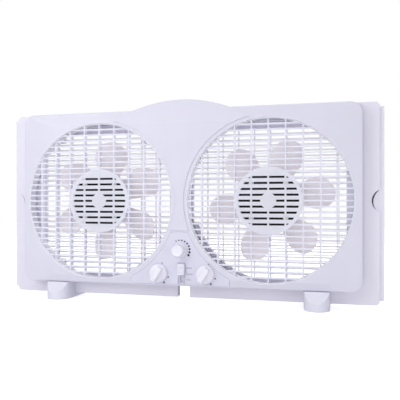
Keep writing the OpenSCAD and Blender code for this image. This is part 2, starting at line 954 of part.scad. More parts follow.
// The control panel drops into its window and is held from behind by four screws.
module control_panel() {
    color(plastic)
        mirror([0, 1, 0])
            difference() {
                union() {
                    slab(panel_back, panel_face) panel_outline(panel_gap);
                    // Raised seats round the knobs.
                    for (x = fan_knob_places)
                        rod(x, knob_z, knob_r + bezel_w, face_y - over, face_y + seat_h);
                    rod(stat_x, stat_z, stat_r + bezel_w, face_y - over, face_y + seat_h);
                    for (p = control_screw_places)
                        rod(p[0], p[1], boss_r, panel_back - ledge_t - 0.2, panel_back + over);
                }
                for (x = fan_knob_places)
                    rod(x, knob_z, spindle_r + 0.5, panel_back - over, face_y + 2);
                rod(stat_x, stat_z, spindle_r + 0.5, panel_back - over, face_y + 2);
                // The slide button's track, open at its low end, and the slot in it.
                translate([control_x - slider_w / 2 - 0.6, track_y, body_low])
                    cube([slider_w + 1.2, panel_t, slider_up + slider_h / 2 + 0.8]);
                translate([control_x - slot_w / 2, panel_back - over, slider_z - slider_drop - slot_end])
                    cube([slot_w, panel_t + 3, slider_drop + 2 * slot_end]);
                for (p = control_screw_places)
                    rod(p[0], p[1], screw_r + running_fit, panel_back - 6, panel_back + 1.2);
            }
}

// A rotary knob with a grip bar across its face, drawn on the +Y side about its own axis.
module knob_form(r, bar) {
    skirt = 4;
    brow = knob_seat + skirt;
    difference() {
        union() {
            taper(0, 0, r, r - 1, knob_seat, brow);
            taper(0, 0, r - 1, r - 2.5, brow, bar ? brow + 2 : knob_tip - 1);
            if (!bar)
                taper(0, 0, r - 2.5, r - 3.5, knob_tip - 1, knob_tip);
            if (bar)
                grip(r, brow, knob_tip);
        }
        rod(0, 0, spindle_r + 0.02, knob_seat - over, knob_tip - socket_deep);
        // Hollow skirt.
        difference() {
            rod(0, 0, r - 3.5, knob_seat - over, brow);
            rod(0, 0, spindle_r + 2, knob_seat - 2 * over, brow + over);
        }
    }
}

// The bar across a fan knob: thicker at its foot, rounded at its ends.
module grip(r, y0, tip) {
    half_t = 4.5;
    intersection() {
        taper(0, 0, r - 0.5, r - 2, y0, tip);
        translate([0, 0, -r])
            linear_extrude(2 * r)
                polygon([
                    [-half_t - 1.5, y0 - over],
                    [-half_t, y0 + 3],
                    [-half_t + 1, tip - 2],
                    [-half_t + 3, tip],
                    [half_t - 3, tip],
                    [half_t - 1, tip - 2],
                    [half_t, y0 + 3],
                    [half_t + 1.5, y0 - over]
                ]);
    }
}

module fan_knob(side) {
    color(knob_plastic)
        mirror([0, 1, 0])
            translate([control_x + side * knob_x, 0, knob_z])
                rotate([0, knob_turn, 0])
                    knob_form(knob_r, true);
}

// The thermostat knob is round, with grip flutes and a pointer groove.
module thermostat_knob() {
    flutes = 12;
    flute_r = 1.1;
    color(knob_plastic)
        mirror([0, 1, 0])
            translate([stat_x, 0, stat_z])
                difference() {
                    knob_form(stat_r, false);
                    for (i = [0 : flutes - 1])
                        rotate([0, i * 360 / flutes, 0])
                            translate([stat_r - 1.4, knob_seat + 5, 0])
                                rotate([-90, 0, 0])
                                    cylinder(h = knob_reach, r = flute_r, $fn = 24);
                    translate([-0.6, knob_tip - 0.8, 2])
                        cube([1.2, 1 + over, stat_r - 5]);
                }
}

module slide_button() {
    tip = face_y + slider_reach;
    rim = 2;
    color(knob_plastic)
        mirror([0, 1, 0])
            translate([control_x, 0, slider_z]) {
                difference() {
                    union() {
                        slab(track_y + fit, tip - rim) cap_outline(0, rim);
                        slab(tip - rim - 0.01, tip) cap_outline(1, rim);
                    }
                    for (z = [-5, 0, 5])
                        translate([-slider_w / 2 - over, tip - 0.7, z - 0.6])
                            cube([slider_w + 2 * over, rim, 1.2]);
                }
                translate([-stem_w / 2 + fit, slide_switch_front - 3, -stem_h / 2])
                    cube([stem_w - 2 * fit, track_y + 1 + fit - slide_switch_front + 3, stem_h]);
            }
}

module cap_outline(inset, r) {
    x = slider_w / 2 - inset;
    z = slider_h / 2 - inset;
    rounded_rect(-x, x, -z, z, r);
}

slide_switch_front = panel_back - fit;

// The thermostat behind the panel: a body with a bulb chamber and a spindle.
module thermostat() {
    color(dark_plastic)
        mirror([0, 1, 0])
            difference() {
                union() {
                    slab(switch_back, panel_back - 0.05)
                        translate([stat_x, stat_z])
                            rounded_rect(-stat_w / 2, stat_w / 2, -stat_low, stat_high, 2);
                    rod(stat_x, stat_z + 1, stat_low - 2, switch_back - 4, switch_back + over);
                    for (x = [-9, 6])
                        translate([stat_x + x, switch_back - lug[1], stat_z - stat_low + 1])
                            cube([lug[0], lug[1] + over, lug[2]]);
                }
                rod(stat_x, stat_z, spindle_r + running_fit, switch_back + switch_wall, panel_back + over);
            }
}

module fan_switch(side) {
    color(dark_plastic)
        mirror([0, 1, 0])
            translate([control_x + side * knob_x, 0, knob_z])
                difference() {
                    union() {
                        slab(switch_back, panel_back - 0.05)
                            rounded_rect(-switch_w / 2, switch_w / 2, -switch_w / 2, switch_w / 2, 2);
                        for (i = [-1 : 1])
                            translate([i * 7 - lug[0] / 2, switch_back - lug[1], -4])
                                cube([lug[0], lug[1] + over, lug[2]]);
                    }
                    rod(0, 0, spindle_r + running_fit, switch_back + switch_wall, panel_back + over);
                }
}

// A spindle reaches from its switch or thermostat into its knob.
module spindle(x, z) {
    color(steel)
        mirror([0, 1, 0])
            rod(x, z, spindle_r, switch_back + switch_wall + fit, spindle_tip);
}

module slide_switch() {
    deep = 11;
    rim = 1.5;
    side_half = slot_w / 2 + switch_wall + rim;
    well_half = stem_h / 2 + fit;
    well_low = slider_z - slider_drop - well_half;
    color(dark_plastic)
        mirror([0, 1, 0])
            difference() {
                translate([control_x - side_half, slide_switch_front - deep, well_low - rim])
                    cube([2 * side_half, deep, slider_drop + 2 * (well_half + rim)]);
                translate([control_x - slot_w / 2, slide_switch_front - 3.4, well_low])
                    cube([slot_w, 4, slider_drop + 2 * well_half]);
            }
}

control_screw_places = concat(
    [for (sx = [-1, 1]) [sx * (control_x + knob_x + switch_w / 2 + 7), knob_z + 1]],
    [for (sx = [-1, 1]) [sx * 13, stat_z + stat_high + 7.5]]
);

// ---------------------------------------------------------------- small inner pieces

grommet_x = 0;
grommet_z = body_low + 30;
grommet_r = 5;
capacitor_x = 32;
capacitor_up = 21;
capacitor_w = 34;
capacitor_h = 22;
capacitor_t = 15;

// The rubber grommet in the back of the control box that the supply lead would leave by.
module lead_grommet() {
    color(dark_plastic)
        translate([grommet_x, 0, grommet_z])
            difference() {
                union() {
                    rod(0, 0, grommet_r - 0.05, face_y - wall - 0.5, face_y + 0.5);
                    rod(0, 0, grommet_r + 2, face_y + 0.05, face_y + 2);
                    rod(0, 0, grommet_r + 1.5, face_y - wall - 2.5, face_y - wall - 0.05);
                }
                rod(0, 0, 3.2, face_y - wall - 4, face_y + 4);
            }
}

// Two run capacitors, one for each motor, stand side by side in the control box.
module capacitors() {
    color(dark_plastic)
        for (sx = [-1, 1])
            slab(face_y - wall - capacitor_t, face_y - wall - 0.05)
                translate([sx * capacitor_x, body_low + wall + capacitor_up])
                    rounded_rect(-capacitor_w / 2, capacitor_w / 2, -capacitor_h / 2, capacitor_h / 2, 2);
}

module pan_screw(x, z, head_y, length) {
    rod(x, z, screw_r, head_y - length, head_y);
    taper(x, z, head_r, head_r - 1, head_y, head_y + head_t);
}

// The screws that hold the two shells together, driven from the back.
module housing_screws() {
    seat = face_y - counterbore + 0.02;
    color(steel)
        for (p = post_places)
            difference() {
                pan_screw(p[0], p[1], seat, seat + 16);
                translate([p[0] - 2.2, seat + head_t - 1, p[1] - 0.4])
                    cube([4.4, 2, 0.8]);
            }
}

// The screws that hold a motor to its grille's disc.
module motor_screws(side) {
    color(steel)
        translate([side * fan_x, 0, fan_z])
            motor_screw_rods(screw_r, -bar_back - 1.4, -motor_front + motor_screw_deep);
}

// Washer-headed screws that hold the control panel against its ledge.
module control_screws() {
    seat = -(panel_back - ledge_t - 0.2) + 0.02;
    color(steel)
        for (p = control_screw_places) {
            rod(p[0], p[1], screw_r, seat - ledge_t - 1, seat + over);
            taper(p[0], p[1], boss_r + 1.2, boss_r, seat, seat + 2);
        }
}

// A motor's lead runs behind a bar to the collar, along it, and through it to its switch.
module motor_lead(side) {
    meet = 180 + asin(lead_drop / lead_ring);
    steps = 7;
    path = concat(
        [[lead_start, -lead_y, fan_z - lead_drop]],
        [for (i = [0 : steps]) ring_point(lead_ring, meet + (lead_hole_turn - meet) * i / steps)],
        [ring_point(lead_ring + lead_out, lead_hole_turn)],
        [[knob_x + side * control_x, -(switch_back - lug[1]) + lead_r + 1, knob_z - 2]]
    );
    color(black_metal)
        mirror([side < 0 ? 1 : 0, 0, 0]) {
            for (i = [0 : len(path) - 2])
                link(path[i], path[i + 1], lead_r);
            for (i = [1 : len(path) - 1])
                translate(path[i]) sphere(r = lead_bead_r, $fn = 32);
        }
}

function ring_point(r, a) = [fan_x + r * cos(a), -lead_y, fan_z + r * sin(a)];

// A round rod from a to b.
module link(a, b, r) {
    d = b - a;
    length = norm(d);
    translate(a)
        rotate([0, acos(d[2] / length), atan2(d[1], d[0])])
            cylinder(h = length, r = r, $fn = 32);
}

front_shell();
rear_shell();
front_grille(-1);  // front_grille_left
front_grille(1);  // front_grille_right
rear_grille(-1);  // rear_grille_left
rear_grille(1);  // rear_grille_right
control_panel();
thermostat_knob();
fan_knob(-1);  // fan_knob_left
fan_knob(1);  // fan_knob_right
slide_button();
thermostat();
fan_switch(-1);  // fan_switch_left
fan_switch(1);  // fan_switch_right
slide_switch();
spindle(stat_x, stat_z);  // thermostat_spindle
spindle(control_x - knob_x, knob_z);  // fan_spindle_left
spindle(control_x + knob_x, knob_z);  // fan_spindle_right
motor(-1);  // motor_left
motor(1);  // motor_right
motor_bushings(-1);  // motor_bushings_left
motor_bushings(1);  // motor_bushings_right
shaft(-1);  // shaft_left
shaft(1);  // shaft_right
blade(-1);  // blade_left
blade(1);  // blade_right
blade_nut(-1);  // blade_nut_left
blade_nut(1);  // blade_nut_right
extender(-1);  // extender_left
extender(1);  // extender_right
foot(-1);  // foot_left
foot(1);  // foot_right
capacitors();
motor_lead(-1);  // motor_lead_left
motor_lead(1);  // motor_lead_right
lead_grommet();
housing_screws();
motor_screws(-1);  // motor_screws_left
motor_screws(1);  // motor_screws_right
control_screws();
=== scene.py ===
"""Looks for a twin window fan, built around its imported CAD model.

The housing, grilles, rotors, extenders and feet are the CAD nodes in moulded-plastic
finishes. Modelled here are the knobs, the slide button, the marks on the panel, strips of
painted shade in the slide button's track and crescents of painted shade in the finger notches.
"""

import json
import logging
import math
from dataclasses import dataclass, field
from enum import Enum
from typing import Iterable

import bmesh
import bpy
from mathutils import Matrix, Vector

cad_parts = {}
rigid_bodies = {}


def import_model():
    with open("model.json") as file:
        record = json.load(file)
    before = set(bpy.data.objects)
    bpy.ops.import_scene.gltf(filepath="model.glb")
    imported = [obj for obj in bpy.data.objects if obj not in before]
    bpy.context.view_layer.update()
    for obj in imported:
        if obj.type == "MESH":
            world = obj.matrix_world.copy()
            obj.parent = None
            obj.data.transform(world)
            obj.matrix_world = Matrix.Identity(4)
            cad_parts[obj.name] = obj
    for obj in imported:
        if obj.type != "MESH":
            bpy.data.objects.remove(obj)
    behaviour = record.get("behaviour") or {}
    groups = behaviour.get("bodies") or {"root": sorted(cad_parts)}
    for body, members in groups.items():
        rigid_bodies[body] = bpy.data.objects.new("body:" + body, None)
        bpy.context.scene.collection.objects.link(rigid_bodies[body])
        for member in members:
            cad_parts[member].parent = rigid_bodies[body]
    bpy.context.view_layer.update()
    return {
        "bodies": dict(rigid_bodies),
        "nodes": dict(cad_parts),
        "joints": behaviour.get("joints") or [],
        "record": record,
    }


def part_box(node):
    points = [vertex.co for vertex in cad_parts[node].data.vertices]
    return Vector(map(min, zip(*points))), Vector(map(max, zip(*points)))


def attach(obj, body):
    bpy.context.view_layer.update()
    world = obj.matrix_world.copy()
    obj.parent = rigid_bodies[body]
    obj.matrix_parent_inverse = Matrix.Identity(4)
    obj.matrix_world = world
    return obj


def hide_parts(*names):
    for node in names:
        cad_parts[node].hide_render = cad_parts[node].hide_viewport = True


LOG = logging.getLogger("window_fan")
MM = 0.001
SIDES = ("left", "right")
WHITE = (1.0, 1.0, 1.0, 1.0)
# Vertices closer than this are one, and faces that meet under this angle shade smoothly.
TOUCH = 1e-7
SMOOTH_UNDER = 35.0

Colour = tuple[float, float, float]
Point = tuple[float, float, float]
Pair = tuple[float, float]
Form = bmesh.types.BMesh


# ---------------------------------------------------------------- node groups


class Effect(Enum):
    """The node groups that several materials share, by group name."""

    MOULD_FIELD = "mould_field"
    EDGE_RUB = "edge_rub"
    # Mask of the duct walls, which get painted light.
    DUCT_LIGHT_MASK = "duct_mask"


class Socket(Enum):
    """The kinds of socket that the groups have, by type name."""

    NUMBER = "NodeSocketFloat"
    VECTOR = "NodeSocketVector"


@dataclass
class EffectLibrary:
    """Builds each shared node group once."""

    groups: dict[Effect, bpy.types.NodeTree] = field(default_factory=dict)
    cloud_detail: float = 3.0
    fine_detail: float = 2.0
    streak_scale: float = 60.0
    streak_stretch: Point = (1.0, 1.0, 0.18)
    streak_share: float = 0.35
    bevel_samples: int = 4
    # Agreement of the rounded and the true normal where an edge starts and where it is full.
    edge_start: float = 0.985
    edge_full: float = 0.8
    # Middles and radius of the two ducts, inside which painted light lightens the housing's
    # walls.
    duct_across: float = 0.139
    duct_up: float = 0.1625
    duct_radius: float = 0.1273

    def get(self, effect: Effect) -> bpy.types.NodeTree:
        """Gives a group, building it the first time.

        Args:
            effect: Which shared effect is wanted.

        Returns:
            The node group.
        """
        if effect not in self.groups:
            makers = {
                Effect.MOULD_FIELD: self._mould_field,
                Effect.EDGE_RUB: self._edge_rub,
                Effect.DUCT_LIGHT_MASK: self._duct_light_mask,
            }
            self.groups[effect] = makers[effect]()
        return self.groups[effect]

    @staticmethod
    def _new(
        effect: Effect,
        inputs: list[tuple[str, Socket, float | None]],
        outputs: list[tuple[str, Socket]],
    ) -> bpy.types.NodeTree:
        """Makes an empty group with its sockets.

        Args:
            effect: The effect, whose value names the group.
            inputs: Name, kind and default value of each input, None where it has no default.
            outputs: Name and kind of each output.

        Returns:
            The node group, holding only its input and output nodes.
        """
        tree = bpy.data.node_groups.new(effect.value, "ShaderNodeTree")
        for name, kind, value in inputs:
            socket = tree.interface.new_socket(name=name, in_out="INPUT", socket_type=kind.value)
            if value is not None:
                socket.default_value = value
        for name, kind in outputs:
            tree.interface.new_socket(name=name, in_out="OUTPUT", socket_type=kind.value)
        tree.nodes.new("NodeGroupInput").name = "in"
        tree.nodes.new("NodeGroupOutput").name = "out"
        return tree

    def _mould_field(self) -> bpy.types.NodeTree:
        """Builds the field of a moulded surface: broad cloudiness, flow streaks and fine grain.

        Returns:
            The group, with outputs Cloud and Height.
        """
        tree = self._new(
            Effect.MOULD_FIELD,
            [
                ("Vector", Socket.VECTOR, None),
                ("Broad Scale", Socket.NUMBER, None),
                ("Grain Scale", Socket.NUMBER, None),
            ],
            [("Cloud", Socket.NUMBER), ("Height", Socket.NUMBER)],
        )
        nodes, links = tree.nodes, tree.links
        broad = nodes.new("ShaderNodeTexNoise")
        broad.inputs["Detail"].default_value = self.cloud_detail
        streak_map = nodes.new("ShaderNodeMapping")
        streak_map.inputs["Scale"].default_value = self.streak_stretch
        streak = nodes.new("ShaderNodeTexNoise")
        streak.inputs["Scale"].default_value = self.streak_scale
        streak.inputs["Detail"].default_value = self.fine_detail
        fine = nodes.new("ShaderNodeTexNoise")
        fine.inputs["Detail"].default_value = self.fine_detail
        blend = nodes.new("ShaderNodeMix")
        blend.data_type = "FLOAT"
        blend.inputs["Factor"].default_value = self.streak_share
        links.new(nodes["in"].outputs["Vector"], broad.inputs["Vector"])
        links.new(nodes["in"].outputs["Vector"], streak_map.inputs["Vector"])
        links.new(streak_map.outputs["Vector"], streak.inputs["Vector"])
        links.new(nodes["in"].outputs["Vector"], fine.inputs["Vector"])
        links.new(nodes["in"].outputs["Broad Scale"], broad.inputs["Scale"])
        links.new(nodes["in"].outputs["Grain Scale"], fine.inputs["Scale"])
        links.new(broad.outputs["Fac"], blend.inputs["A"])
        links.new(streak.outputs["Fac"], blend.inputs["B"])
        links.new(blend.outputs["Result"], nodes["out"].inputs["Cloud"])
        links.new(fine.outputs["Fac"], nodes["out"].inputs["Height"])
        return tree

    def _edge_rub(self) -> bpy.types.NodeTree:
        """Builds the rounded-edge normal and a mask that is 1 along edges.

        Returns:
            The group, with outputs Edge and Normal.
        """
        tree = self._new(
            Effect.EDGE_RUB,
            [("Radius", Socket.NUMBER, None)],
            [("Edge", Socket.NUMBER), ("Normal", Socket.VECTOR)],
        )
        nodes, links = tree.nodes, tree.links
        bevel = nodes.new("ShaderNodeBevel")
        bevel.samples = self.bevel_samples
        geometry = nodes.new("ShaderNodeNewGeometry")
        dot = nodes.new("ShaderNodeVectorMath")
        dot.operation = "DOT_PRODUCT"
        ramp = nodes.new("ShaderNodeMapRange")
        ramp.inputs["From Min"].default_value = self.edge_start
        ramp.inputs["From Max"].default_value = self.edge_full
        links.new(nodes["in"].outputs["Radius"], bevel.inputs["Radius"])
        links.new(bevel.outputs["Normal"], dot.inputs[0])
        links.new(geometry.outputs["Normal"], dot.inputs[1])
        links.new(dot.outputs["Value"], ramp.inputs["Value"])
        links.new(ramp.outputs["Result"], nodes["out"].inputs["Edge"])
        links.new(bevel.outputs["Normal"], nodes["out"].inputs["Normal"])
        return tree

    def _duct_light_mask(self) -> bpy.types.NodeTree:
        """Builds a mask that is 1 inside two round ducts that lie evenly about the middle, where
        painted light lightens the shaded walls.

        Returns:
            The group, with output Duct.
        """
        tree = self._new(
            Effect.DUCT_LIGHT_MASK,
            [
                ("Vector", Socket.VECTOR, None),
                ("Across", Socket.NUMBER, self.duct_across),
                ("Up", Socket.NUMBER, self.duct_up),
                ("Radius", Socket.NUMBER, self.duct_radius),
            ],
            [("Duct", Socket.NUMBER)],
        )
        nodes, links = tree.nodes, tree.links
        given = nodes["in"].outputs
        parts = nodes.new("ShaderNodeSeparateXYZ")
        links.new(given["Vector"], parts.inputs["Vector"])

        def step(
            operation: str,
            first: bpy.types.NodeSocket,
            second: bpy.types.NodeSocket | None = None,
        ) -> bpy.types.NodeSocket:
            """Adds one Math node.

            Args:
                operation: What it does.
                first: Its first input.
                second: Its second input, if it has one.

            Returns:
                Its result.
            """
            node = nodes.new("ShaderNodeMath")
            node.operation = operation
            links.new(first, node.inputs[0])
            if second is not None:
                links.new(second, node.inputs[1])
            return node.outputs["Value"]

        across = step("SUBTRACT", step("ABSOLUTE", parts.outputs["X"]), given["Across"])
        up = step("SUBTRACT", parts.outputs["Z"], given["Up"])
        square = step("ADD", step("MULTIPLY", across, across), step("MULTIPLY", up, up))
        inside = step("LESS_THAN", step("SQRT", square), given["Radius"])
        links.new(inside, nodes["out"].inputs["Duct"])
        return tree


# ---------------------------------------------------------------- finishes


@dataclass(frozen=True)
class Finish:
    """A surface with its colour, cloudiness, edge wear, gloss and grain.

    Colours are linear. The cloud tone lies in the clouds, the edge tone on rubbed edges and
    the painted duct light, a lighter colour standing in for light, on the shaded walls of the two
    ducts. Lengths are in metres.
    """

    name: str
    tone: Colour
    cloud_tone: Colour
    edge_tone: Colour
    rough_low: float = 0.34
    rough_high: float = 0.5
    broad_scale: float = 14.0
    grain_scale: float = 1500.0
    grain_depth: float = 0.00002
    grain_strength: float = 0.6
    edge_radius: float = 0.0006
    edge_amount: float = 0.5
    metallic: float = 0.0
    translucency: float = 0.0
    specular: float = 0.4
    # Painted light: a lighter colour laid on the shaded walls inside the two ducts.
    duct_painted_light: Colour | None = None
    # The cloud field mostly lies between these, so the two tones are spread over them.
    cloud_range: Pair = (0.3, 0.7)

    def build(self, effects: EffectLibrary) -> bpy.types.Material:
        """Makes the material.

        Args:
            effects: The shared node groups.

        Returns:
            The finished material.
        """
        material = bpy.data.materials.new(self.name)
        material.use_nodes = True
        nodes, links = material.node_tree.nodes, material.node_tree.links
        shader = nodes["Principled BSDF"]
        shader.inputs["Metallic"].default_value = self.metallic
        shader.inputs["Specular IOR Level"].default_value = self.specular
        coords = nodes.new("ShaderNodeTexCoord")
        mould = nodes.new("ShaderNodeGroup")
        mould.node_tree = effects.get(Effect.MOULD_FIELD)
        mould.inputs["Broad Scale"].default_value = self.broad_scale
        mould.inputs["Grain Scale"].default_value = self.grain_scale
        links.new(coords.outputs["Object"], mould.inputs["Vector"])
        edge = nodes.new("ShaderNodeGroup")
        edge.node_tree = effects.get(Effect.EDGE_RUB)
        edge.inputs["Radius"].default_value = self.edge_radius
        colour = self._clouds(nodes, links, mould.outputs["Cloud"])
        # Painted light: the shaded walls inside the two ducts are lightened.
        if self.duct_painted_light:
            duct = nodes.new("ShaderNodeGroup")
            duct.node_tree = effects.get(Effect.DUCT_LIGHT_MASK)
            links.new(coords.outputs["Object"], duct.inputs["Vector"])
            colour = self._over(nodes, links, duct.outputs["Duct"], colour, self.duct_painted_light)
        rub = nodes.new("ShaderNodeMath")
        rub.operation = "MULTIPLY"
        rub.inputs[1].default_value = self.edge_amount
        links.new(edge.outputs["Edge"], rub.inputs[0])
        colour = self._over(nodes, links, rub.outputs["Value"], colour, self.edge_tone)
        links.new(colour, shader.inputs["Base Color"])
        rough = nodes.new("ShaderNodeMapRange")
        rough.inputs["To Min"].default_value = self.rough_low
        rough.inputs["To Max"].default_value = self.rough_high
        links.new(mould.outputs["Cloud"], rough.inputs["Value"])
        links.new(rough.outputs["Result"], shader.inputs["Roughness"])
        bump = nodes.new("ShaderNodeBump")
        bump.inputs["Strength"].default_value = self.grain_strength
        bump.inputs["Distance"].default_value = self.grain_depth
        links.new(mould.outputs["Height"], bump.inputs["Height"])
        links.new(edge.outputs["Normal"], bump.inputs["Normal"])
        links.new(bump.outputs["Normal"], shader.inputs["Normal"])
        if self.translucency:
            self._let_light_through(nodes, links, shader, colour)
        return material

    def _let_light_through(
        self,
        nodes: bpy.types.Nodes,
        links: bpy.types.NodeLinks,
        shader: bpy.types.Node,
        colour: bpy.types.NodeSocket,
    ) -> None:
        """Mixes in light that comes through the thin wall from behind.

        Args:
            nodes: The material's nodes.
            links: The material's links.
            shader: The surface's main shader.
            colour: Socket of the surface's colour.
        """
        through = nodes.new("ShaderNodeBsdfTranslucent")
        mix = nodes.new("ShaderNodeMixShader")
        mix.inputs["Fac"].default_value = self.translucency
        links.new(colour, through.inputs["Color"])
        links.new(shader.outputs["BSDF"], mix.inputs[1])
        links.new(through.outputs["BSDF"], mix.inputs[2])
        links.new(mix.outputs["Shader"], nodes["Material Output"].inputs["Surface"])

    def _clouds(
        self,
        nodes: bpy.types.Nodes,
        links: bpy.types.NodeLinks,
        cloud: bpy.types.NodeSocket,
    ) -> bpy.types.NodeSocket:
        """Mixes the tone and the cloud tone by the cloud field.

        Args:
            nodes: The material's nodes.
            links: The material's links.
            cloud: The field's socket.

        Returns:
            The mixed colour's socket.
        """
        spread = nodes.new("ShaderNodeMapRange")
        spread.inputs["From Min"].default_value = self.cloud_range[0]
        spread.inputs["From Max"].default_value = self.cloud_range[1]
        mix = nodes.new("ShaderNodeMix")
        mix.data_type = "RGBA"
        mix.inputs["A"].default_value = (*self.tone, 1.0)
        mix.inputs["B"].default_value = (*self.cloud_tone, 1.0)
        links.new(cloud, spread.inputs["Value"])
        links.new(spread.outputs["Result"], mix.inputs["Factor"])
        return mix.outputs["Result"]

    @staticmethod
    def _over(
        nodes: bpy.types.Nodes,
        links: bpy.types.NodeLinks,
        mask: bpy.types.NodeSocket,
        under: bpy.types.NodeSocket,
        colour: Colour,
    ) -> bpy.types.NodeSocket:
        """Lays a colour over another where a mask is high.

        Args:
            nodes: The material's nodes.
            links: The material's links.
            mask: The mask's socket.
            under: Socket of the colour below.
            colour: The colour on top.

        Returns:
            The mixed colour's socket.
        """
        mix = nodes.new("ShaderNodeMix")
        mix.data_type = "RGBA"
        mix.inputs["B"].default_value = (*colour, 1.0)
        links.new(mask, mix.inputs["Factor"])
        links.new(under, mix.inputs["A"])
        return mix.outputs["Result"]


class Surface(Enum):
    """The finishes of this fan."""

    # The front shell's plastic, with painted light on the walls inside its two ducts.
    HOUSING = Finish(
        "housing_plastic_duct_light", (0.65, 0.64, 0.75), (0.63, 0.62, 0.73), (0.695, 0.685, 0.79),
        duct_painted_light=(0.93, 0.92, 0.95),
    )
    # Painted light: the rear shell's plastic is a lighter copy of the front shell's, standing in
    # for light inside the housing.
    REAR_HOUSING_LIT = Finish(
        "rear_housing_lit_plastic", (0.87, 0.855, 0.93), (0.85, 0.835, 0.915), (0.9, 0.885, 0.95),
        translucency=0.5,
    )
    GRILLE = Finish(
        "grille_plastic", (0.9, 0.905, 0.975), (0.885, 0.89, 0.96), (0.905, 0.91, 0.98),
        edge_radius=0.0005, translucency=0.42,
    )
    # Painted light: the rear grilles' plastic is a lighter copy of the front grilles', standing
    # in for light inside the housing.
    REAR_GRILLE_LIT = Finish(
        "rear_grille_lit_plastic", (0.94, 0.93, 0.96), (0.92, 0.91, 0.945), (0.96, 0.95, 0.98),
        edge_radius=0.0005, translucency=0.5,
    )
    PANEL = Finish(
        "panel_plastic", (0.66, 0.65, 0.775), (0.64, 0.63, 0.755), (0.705, 0.695, 0.82),
        rough_low=0.28, rough_high=0.4,
    )
    KNOB = Finish(
        "knob_plastic", (0.79, 0.775, 0.87), (0.77, 0.755, 0.85), (0.83, 0.815, 0.9),
        rough_low=0.25, rough_high=0.36,
    )
    BLADE = Finish(
        "blade_plastic", (0.95, 0.92, 0.94), (0.93, 0.9, 0.92), (0.97, 0.94, 0.96),
        rough_low=0.3, rough_high=0.42, translucency=0.5,
    )
    EXTENDER = Finish(
        "extender_plastic", (0.74, 0.725, 0.83), (0.72, 0.705, 0.81), (0.785, 0.77, 0.87),
    )
    FOOT = Finish(
        "foot_plastic", (0.71, 0.7, 0.81), (0.69, 0.68, 0.79), (0.755, 0.745, 0.855),
    )
    MOTOR = Finish(
        "motor_paint", (0.006, 0.006, 0.007), (0.01, 0.01, 0.011), (0.03, 0.03, 0.032),
        rough_low=0.5, rough_high=0.7, broad_scale=40.0, specular=0.2,
    )
    STEEL = Finish(
        "plated_steel", (0.56, 0.56, 0.58), (0.47, 0.47, 0.49), (0.66, 0.66, 0.67),
        rough_low=0.25, rough_high=0.42, metallic=1.0, broad_scale=160.0, grain_scale=2600.0,
    )
    BRONZE = Finish(
        "sintered_bronze", (0.45, 0.27, 0.12), (0.36, 0.21, 0.09), (0.55, 0.36, 0.18),
        rough_low=0.35, rough_high=0.5, metallic=1.0, broad_scale=220.0, grain_depth=0.00005,
    )
    # Painted light: the switch seen through the slide slot is near-white so the shaded slot looks
    # lit.
    SWITCH_LIT = Finish(
        "switch_lit_plastic", (0.86, 0.85, 0.93), (0.83, 0.82, 0.91), (0.9, 0.89, 0.95),
        rough_low=0.35, rough_high=0.5,
    )
    DARK = Finish(
        "dark_plastic", (0.022, 0.022, 0.024), (0.03, 0.03, 0.032), (0.07, 0.07, 0.075),
        rough_low=0.4, rough_high=0.55,
    )
    LEAD = Finish(
        "lead_sheath", (0.33, 0.32, 0.35), (0.37, 0.36, 0.39), (0.44, 0.43, 0.46),
        rough_low=0.5, rough_high=0.65, grain_scale=900.0,
    )
    # Painted shade: a darker lavender for the strips that stand in for the shade in the slide
    # button's track.
    TRACK_SHADE = Finish(
        "track_painted_shade", (0.52, 0.51, 0.63), (0.5, 0.49, 0.61), (0.58, 0.57, 0.68),
        rough_low=0.4, rough_high=0.55,
    )
    # Painted shade: a near-black for the thin crescents that stand in for the shadow along the
    # finger notches.
    NOTCH_SHADE = Finish(
        "notch_painted_shade", (0.05, 0.04, 0.055), (0.065, 0.055, 0.07), (0.1, 0.09, 0.11),
        rough_low=0.6, rough_high=0.75,
    )
    FAINT_MARK = Finish(
        "faint_ink", (0.28, 0.27, 0.35), (0.33, 0.32, 0.4), (0.42, 0.41, 0.49),
        rough_low=0.45, rough_high=0.6, edge_amount=0.1,
    )
    MARK = Finish(
        "mark_ink", (0.02, 0.02, 0.03), (0.035, 0.035, 0.05), (0.04, 0.04, 0.05),
        rough_low=0.45, rough_high=0.6, edge_amount=0.2,
    )


@dataclass
class Dresser:
    """Puts finishes on CAD nodes and on new pieces."""

    frame: dict
    effects: EffectLibrary = field(default_factory=EffectLibrary)
    materials: dict[Surface, bpy.types.Material] = field(default_factory=dict)

    def material(self, surface: Surface) -> bpy.types.Material:
        """Gives a finish's material, building it the first time.

        Args:
            surface: The finish.

        Returns:
            Its material.
        """
        if surface not in self.materials:
            self.materials[surface] = surface.value.build(self.effects)
        return self.materials[surface]

    def node(self, name: str, surface: Surface) -> None:
        """Dresses one CAD node.

        Args:
            name: The node's name.
            surface: The finish that it gets.
        """
        node = self.frame["nodes"][name]
        if not node.material_slots:
            node.data.materials.append(self.material(surface))
        for slot in node.material_slots:
            slot.material = self.material(surface)

    def nodes(self, names: Iterable[str], surface: Surface) -> None:
        """Dresses several CAD nodes alike.

        Args:
            names: The nodes' names.
            surface: The finish that they get.
        """
        for name in names:
            self.node(name, surface)

    def piece(
        self, name: str, mesh: Form, surface: Surface, body: str, slot: str
    ) -> bpy.types.Object:
        """Turns a finished form into a piece that rides on a body.

        Args:
            name: The piece's name.
            mesh: Its shape in metres, already in place. It is freed.
            surface: Its finish.
            body: The CAD body that it rides on.
            slot: The record's material slot that it would take; not used.

        Returns:
            The new object.
        """
        data = bpy.data.meshes.new(name)
        mesh.to_mesh(data)
        mesh.free()
        for polygon in data.polygons:
            polygon.use_smooth = True
        data.set_sharp_from_angle(angle=math.radians(SMOOTH_UNDER))
        data.materials.append(self.material(surface))
        piece = bpy.data.objects.new(name, data)
        bpy.context.scene.collection.objects.link(piece)
        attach(piece, body)
        return piece


# ---------------------------------------------------------------- shapes


class Rounding(Enum):
    """Steps of a rounded edge, by how closely it is seen."""

    COARSE = 2
    MEDIUM = 3
    FINE = 4


